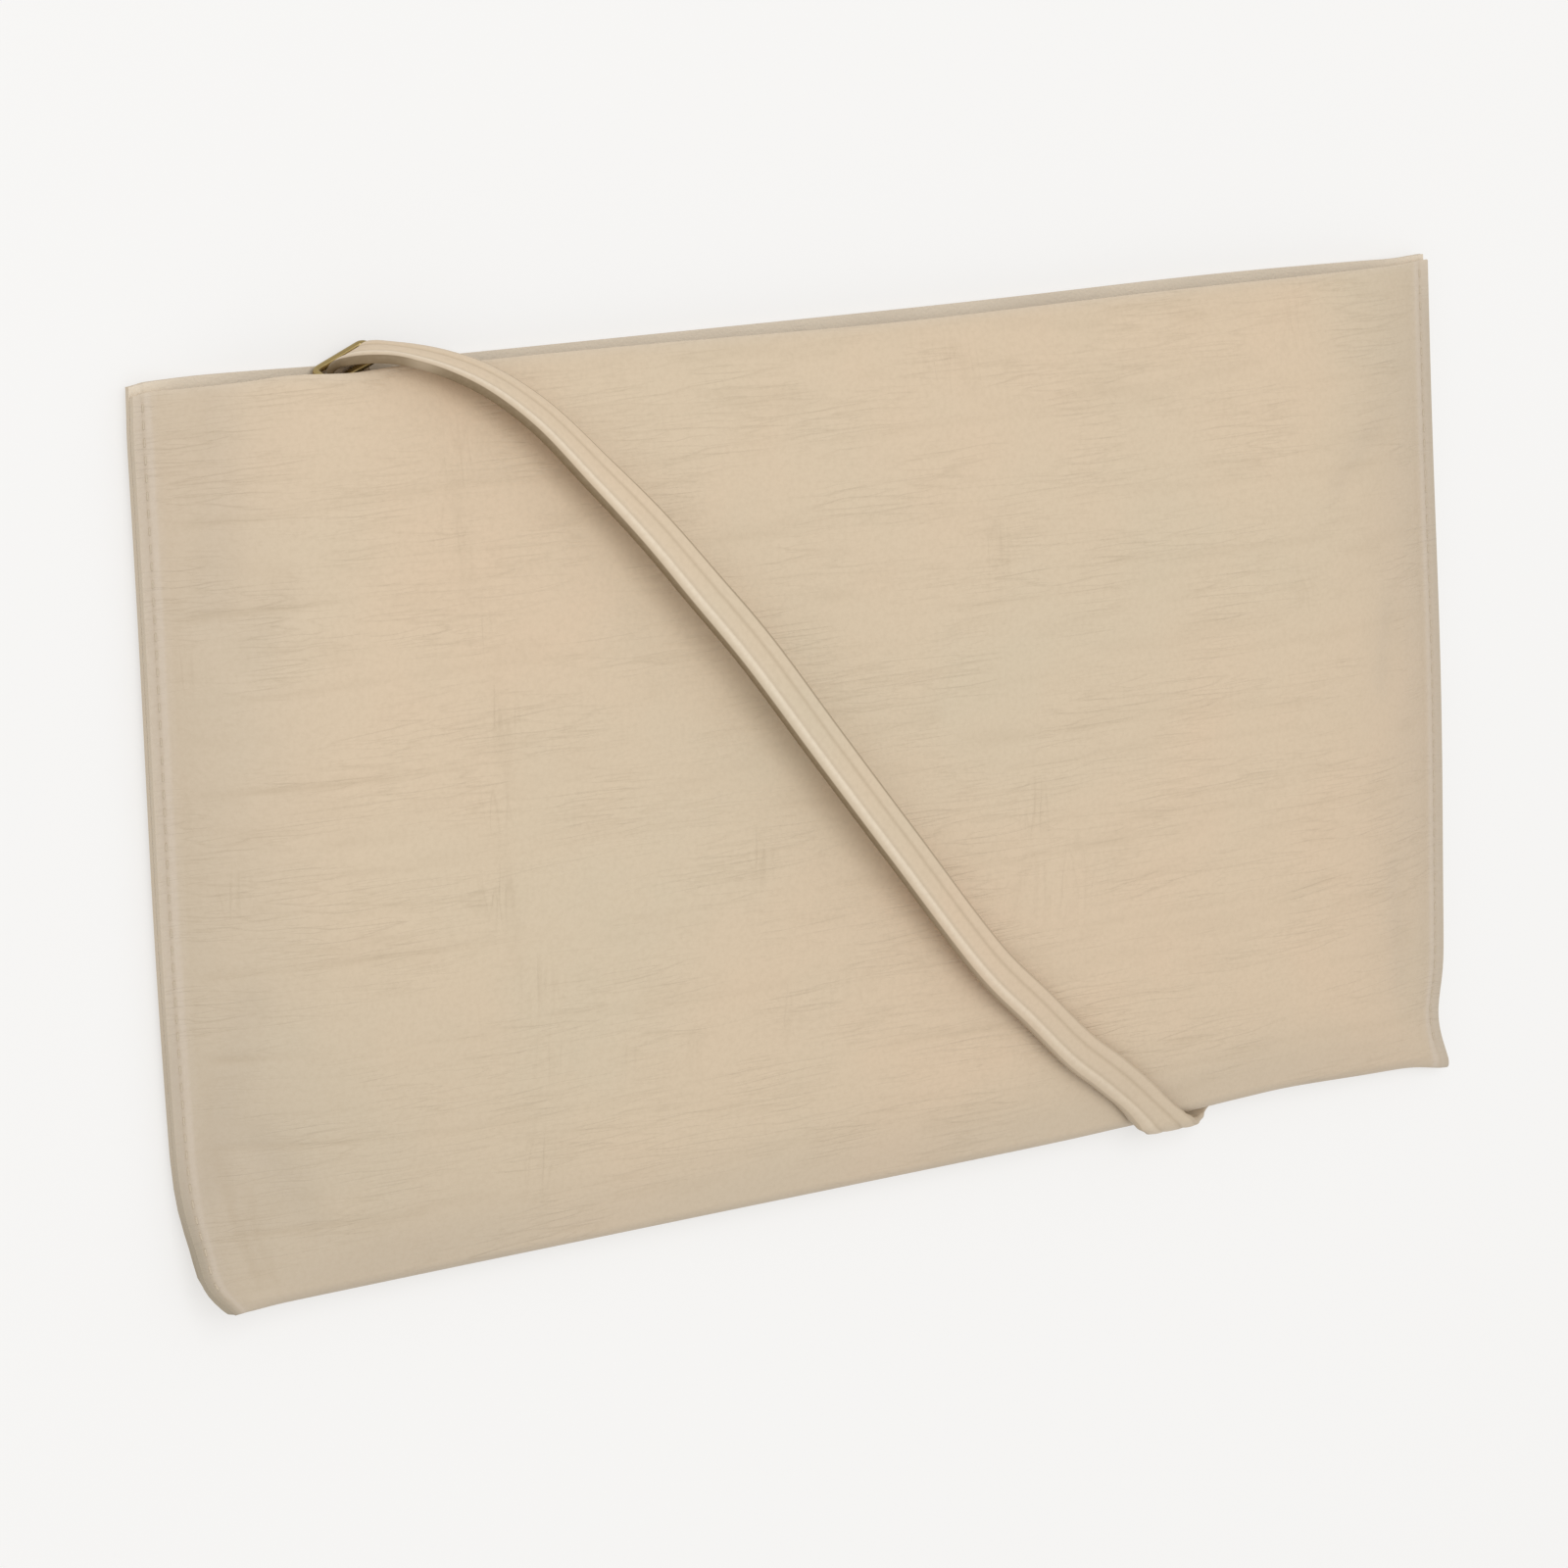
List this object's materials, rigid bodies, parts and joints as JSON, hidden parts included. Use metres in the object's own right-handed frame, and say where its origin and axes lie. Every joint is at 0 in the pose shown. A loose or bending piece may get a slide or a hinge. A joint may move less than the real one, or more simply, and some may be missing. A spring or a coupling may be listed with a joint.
{
  "type": "leather pouch",
  "caption": "Soft flat leather pouch with an open mouth, a slim wire ring in the mouth, and a hand strap that crosses its front diagonally.",
  "frame": {"origin": "on the resting surface, under the middle of the pouch's back", "axes": "+X along the mouth, +Y towards the mouth, +Z out of the front"},
  "size_m": [0.3512, 0.2073, 0.0282],
  "materials": {
    "body": "satin, embossed with broken rows of creases",
    "strap": "satin, smooth",
    "ring": "polished gold-tone plating"
  },
  "bodies": {
    "root": {"body": "body", "strap": "strap", "ring": "ring"}
  },
  "joints": []
}
